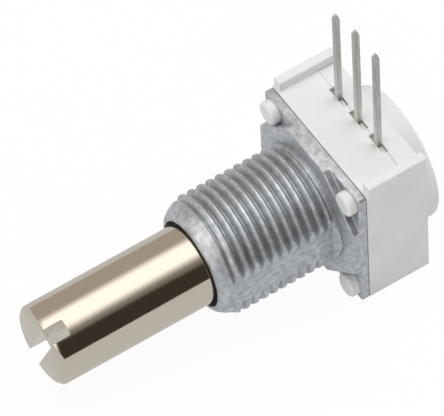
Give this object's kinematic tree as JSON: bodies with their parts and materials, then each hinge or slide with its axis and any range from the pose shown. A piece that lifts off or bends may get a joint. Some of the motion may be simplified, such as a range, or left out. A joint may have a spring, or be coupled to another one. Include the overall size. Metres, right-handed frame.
{
  "type": "rotary potentiometer",
  "caption": "Square panel-mounted rotary potentiometer with a threaded bush, slotted round shaft, zinc front flange, white plastic housing and three long square pins.",
  "frame": {"origin": "on the shaft axis, in the panel mounting face, which is the front face of the flange pad", "axes": "the shaft points to -Y, the terminal pins point to +Z, and +X is to the right when the pot is seen from the shaft's side"},
  "size_m": [0.0122, 0.0309, 0.0228],
  "materials": {
    "zinc": "as-cast zinc, satin",
    "shaft_metal": "bright nickel",
    "steel": "satin",
    "spring_metal": "satin",
    "rubber": "matte",
    "white_plastic": "fine satin",
    "dark_plastic": "matte",
    "substrate": "matte ceramic",
    "resistive_print": "matte",
    "silver_print": "satin",
    "tin": "tinned, satin",
    "epoxy": "cast resin"
  },
  "bodies": {
    "body": {"bush_flange": "zinc", "thrust_washer": "steel", "housing": "white_plastic", "rear_cover": "white_plastic", "element_substrate": "substrate", "resistive_track": "resistive_print", "collector_ring": "silver_print", "end_pads": "silver_print", "terminal_pin_1": "tin", "terminal_pin_2": "tin", "terminal_pin_3": "tin", "terminal_rivet_1": "tin", "terminal_rivet_2": "tin", "terminal_rivet_3": "tin", "terminal_seal": "epoxy"},
    "rotating": {"shaft": "shaft_metal", "shaft_seal": "rubber", "retaining_ring": "steel", "rotor": "dark_plastic", "wiper_spring": "spring_metal", "wiper_brushes": "spring_metal"}
  },
  "joints": [
    {"name": "shaft_turn", "type": "hinge", "parent": "body", "child": "rotating", "pos_m": [0, 0, 0], "axis": [0, 1, 0], "range_deg": [-148, 148]}
  ]
}
